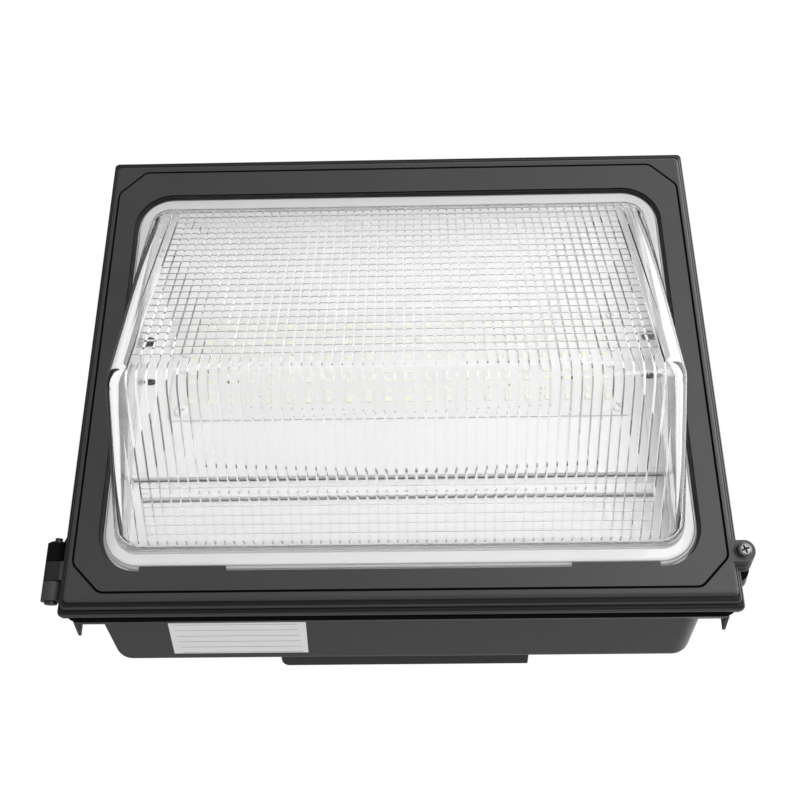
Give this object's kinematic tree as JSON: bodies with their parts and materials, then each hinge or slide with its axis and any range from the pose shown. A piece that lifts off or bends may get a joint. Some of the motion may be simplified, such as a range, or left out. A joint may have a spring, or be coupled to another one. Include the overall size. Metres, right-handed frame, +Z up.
{
  "type": "wall pack light",
  "caption": "Outdoor wall-mounted luminaire: die-cast wedge housing with a slanted, side-hung door frame, captive latch screw and deep prismatic glass refractor.",
  "frame": {"origin": "middle of the mounting platform's face on the wall", "axes": "+X to the right seen from the front, +Y out of the back into the wall, +Z up"},
  "size_m": [0.3845, 0.1979, 0.2678],
  "materials": {
    "powder_coat": "dark bronze-black textured powder coat on die-cast aluminium",
    "zinc_plug": "powder coated plug",
    "silicone": "matte silicone",
    "steel": "plated steel",
    "brass_insert": "turned",
    "white_paint": "white reflector paint on aluminium sheet",
    "board_white": "white solder mask",
    "led_phosphor": "phosphor under clear silicone",
    "galvanised": "zinc-coated sheet",
    "driver_case": "moulded case",
    "terminal_plastic": "moulded nylon",
    "ground_green": "green screw",
    "clear_glass": "clear pressed borosilicate"
  },
  "bodies": {
    "housing_side": {"housing": "powder_coat", "side_plugs": "zinc_plug", "door_gasket": "silicone", "hinge_pin": "steel", "hinge_clip": "steel", "lug_insert": "brass_insert", "led_plate": "white_paint", "led_plate_screws": "steel", "led_board": "board_white", "led_chips": "led_phosphor", "led_board_screws": "steel", "lower_reflector": "white_paint", "reflector_screws": "steel", "side_reflector_left": "white_paint", "side_reflector_right": "white_paint", "driver_bracket": "galvanised", "led_driver": "driver_case", "driver_screws": "steel", "terminal_block": "terminal_plastic", "ground_screw": "ground_green"},
    "door": {"door_frame": "powder_coat", "glass_refractor": "clear_glass", "glass_gasket": "silicone", "glass_clips": "steel", "glass_clip_screws": "steel"},
    "latch": {"latch_screw": "steel", "latch_washer": "steel", "latch_retainer": "steel"}
  },
  "joints": [
    {"name": "door_hinge", "type": "hinge", "parent": "housing_side", "child": "door", "pos_m": [-0.189, -0.07333, -0.10492], "axis": [0, 0.4384, -0.8988], "range_deg": [0, 110]},
    {"name": "latch_screw_travel", "type": "slide", "parent": "door", "child": "latch", "axis": [0, -0.8988, -0.4384], "range_m": [0, 0.0042]}
  ]
}
